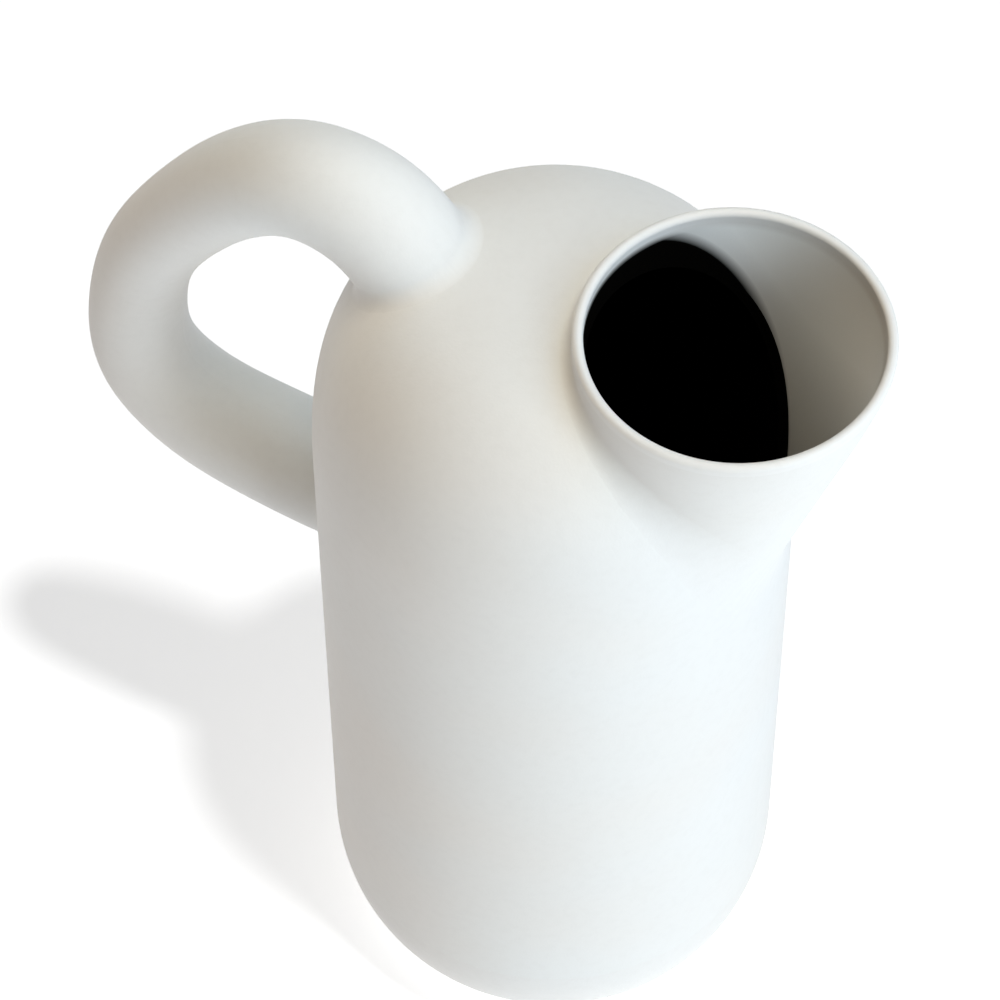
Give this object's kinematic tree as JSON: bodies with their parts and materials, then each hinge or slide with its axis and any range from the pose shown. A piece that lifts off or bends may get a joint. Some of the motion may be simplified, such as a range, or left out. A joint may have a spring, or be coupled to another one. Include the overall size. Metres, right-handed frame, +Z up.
{
  "type": "ceramic pitcher",
  "caption": "Matte white ceramic pitcher: a domed closed cylinder with a slanted flared spout and a looped tube handle.",
  "frame": {"origin": "centre of the flat foot, on the surface it stands on", "axes": "+Z up along the body's axis, +X towards the spout, handle towards -X"},
  "size_m": [0.1883, 0.106, 0.2587],
  "materials": {
    "bisque": "matte",
    "lip_clay": "satin",
    "foot_clay": "matte"
  },
  "bodies": {
    "root": {"base": "foot_clay", "body_wall": "bisque", "dome": "bisque", "spout_neck": "bisque", "spout_lip": "lip_clay", "handle": "bisque", "handle_seam_upper": "bisque", "handle_seam_lower": "bisque"}
  },
  "joints": []
}
